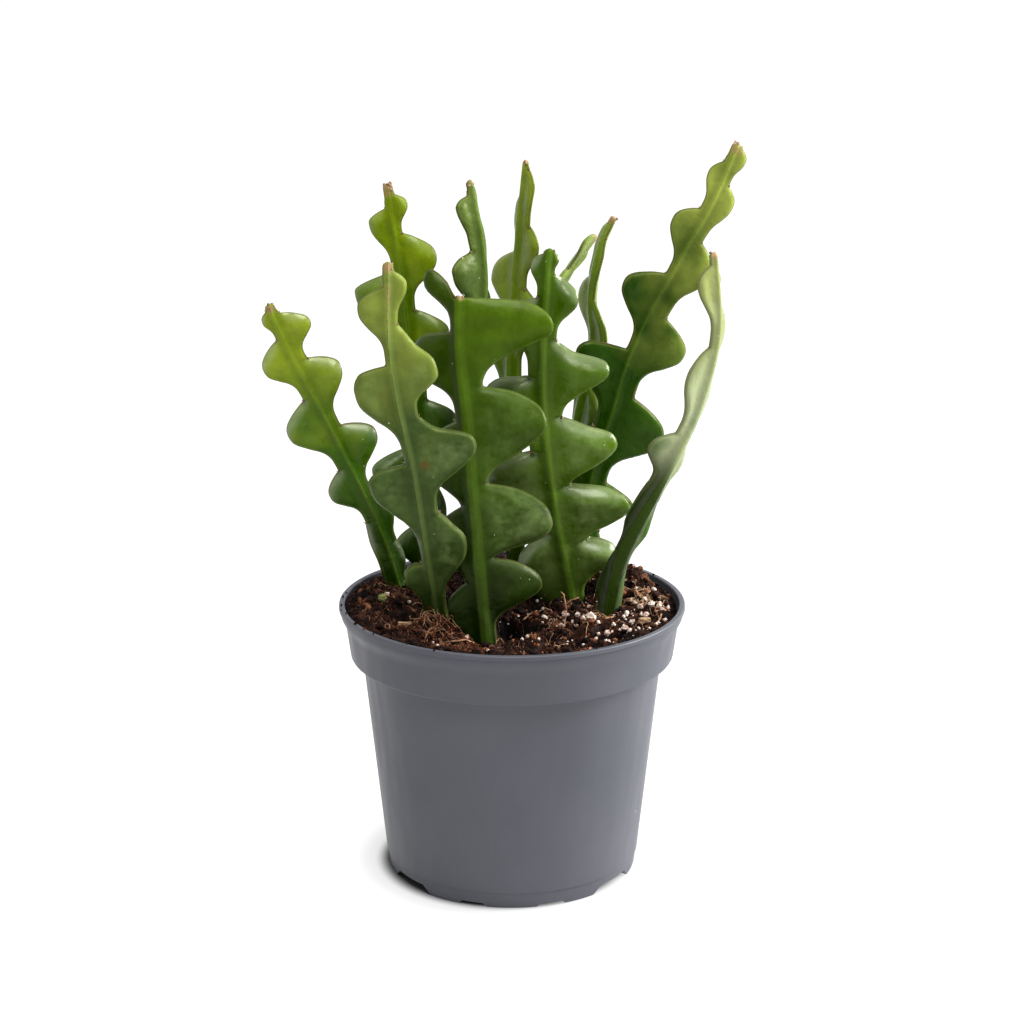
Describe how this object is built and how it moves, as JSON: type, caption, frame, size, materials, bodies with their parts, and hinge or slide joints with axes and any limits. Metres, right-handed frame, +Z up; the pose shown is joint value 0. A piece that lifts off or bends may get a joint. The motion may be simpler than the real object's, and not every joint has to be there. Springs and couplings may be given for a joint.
{
  "type": "potted fishbone cactus",
  "caption": "Young fishbone cactus: a cluster of upright flat green stems with alternating rounded lobes, rooted in dark potting mix in a round tapered plastic nursery pot.",
  "frame": {"origin": "on the surface that the pot stands on, below the middle of the whole plant's outline; the pot's own axis stands 1.5 mm to the right, at x = 0.0015 m", "axes": "+Z up, front faces -Y, +X to the viewer's right"},
  "size_m": [0.0826, 0.06, 0.1261],
  "materials": {
    "pot_plastic": "satin bluish grey injection-moulded plastic with fine scratches",
    "potting_mix": "loose dark brown peat with reddish fibres and white perlite",
    "cactus_stem": "waxy glossy green plant skin, darker at the foot and lime green at the tips",
    "perlite": "dull chalky white foamed grains",
    "bark": "rough dry bark",
    "moss": "small dry yellow-green tuft"
  },
  "bodies": {
    "root": {"pot": "pot_plastic", "potting_mix": "potting_mix", "stem_far_left": "cactus_stem", "stem_front_left": "cactus_stem", "stem_back_left": "cactus_stem", "stem_front_centre": "cactus_stem", "stem_rear_left_slim": "cactus_stem", "stem_rear_centre": "cactus_stem", "stem_middle_right": "cactus_stem", "stem_rear_leaning": "cactus_stem", "stem_tall_right": "cactus_stem", "stem_rear_right_slim": "cactus_stem", "stem_front_right": "cactus_stem", "perlite_grain_1": "perlite", "perlite_grain_2": "perlite", "perlite_grain_3": "perlite", "perlite_grain_4": "perlite", "perlite_grain_5": "perlite", "perlite_grain_6": "perlite", "perlite_grain_7": "perlite", "perlite_grain_8": "perlite", "perlite_grain_9": "perlite", "perlite_grain_10": "perlite", "perlite_grain_11": "perlite", "perlite_grain_12": "perlite", "bark_chip_1": "bark", "bark_chip_2": "bark", "bark_chip_3": "bark", "bark_chip_4": "bark", "moss_tuft": "moss"}
  },
  "joints": []
}
